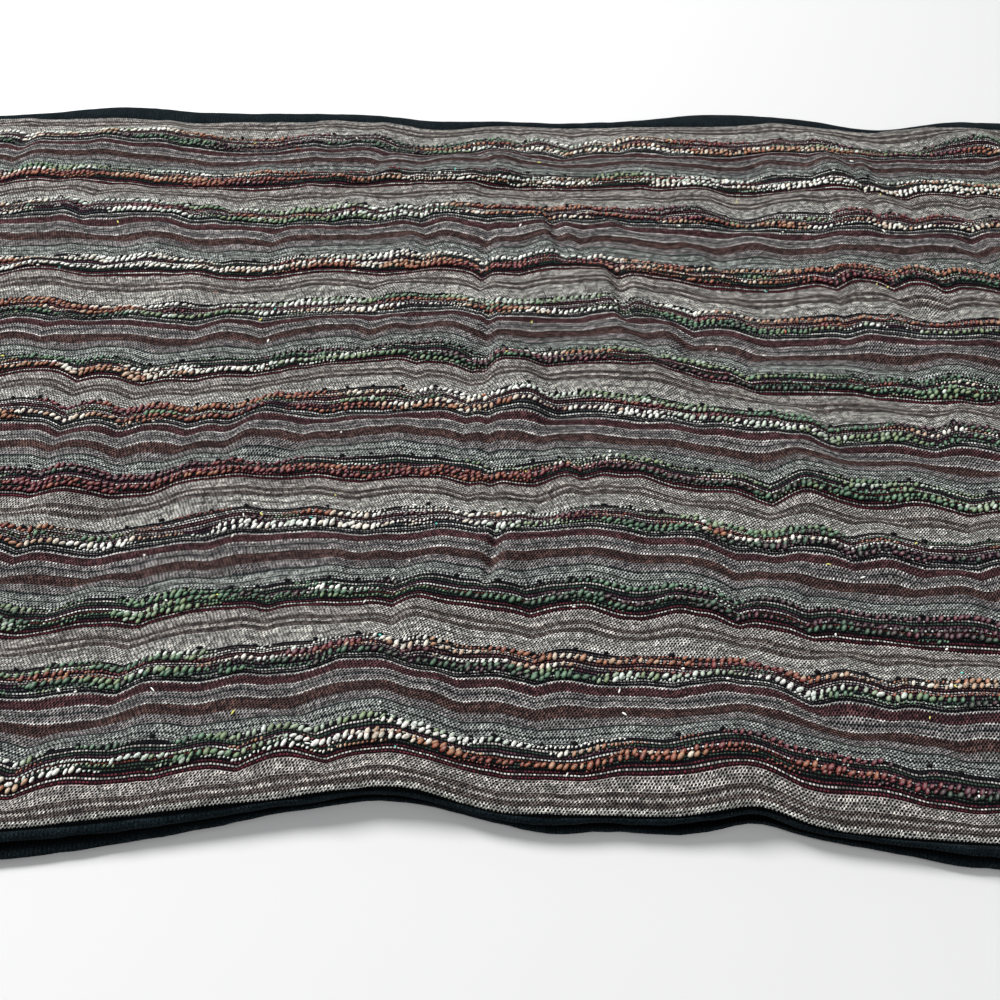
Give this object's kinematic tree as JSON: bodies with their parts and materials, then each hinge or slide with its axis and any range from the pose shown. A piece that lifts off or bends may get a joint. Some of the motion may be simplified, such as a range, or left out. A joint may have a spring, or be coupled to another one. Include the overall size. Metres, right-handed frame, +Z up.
{
  "type": "infinity scarf laid flat",
  "caption": "Lined loop scarf of striped cloth with raised slub bands, pressed flat on a surface with its black lining rolling past both long edges.",
  "frame": {"origin": "middle of the outline on the surface the scarf lies on", "axes": "+X along the flattened loop, +Y across it to the back edge, +Z up from the surface"},
  "size_m": [0.76, 0.3552, 0.0118],
  "materials": {
    "striped_weave": "matt twill of black and pale grey threads in muted stripes, with raised slub yarn bands",
    "black_lining": "matt black brushed knit"
  },
  "bodies": {
    "root": {"woven_upper_run": "striped_weave", "woven_lower_run": "striped_weave", "lining_upper_run": "black_lining", "lining_lower_run": "black_lining"}
  },
  "joints": []
}
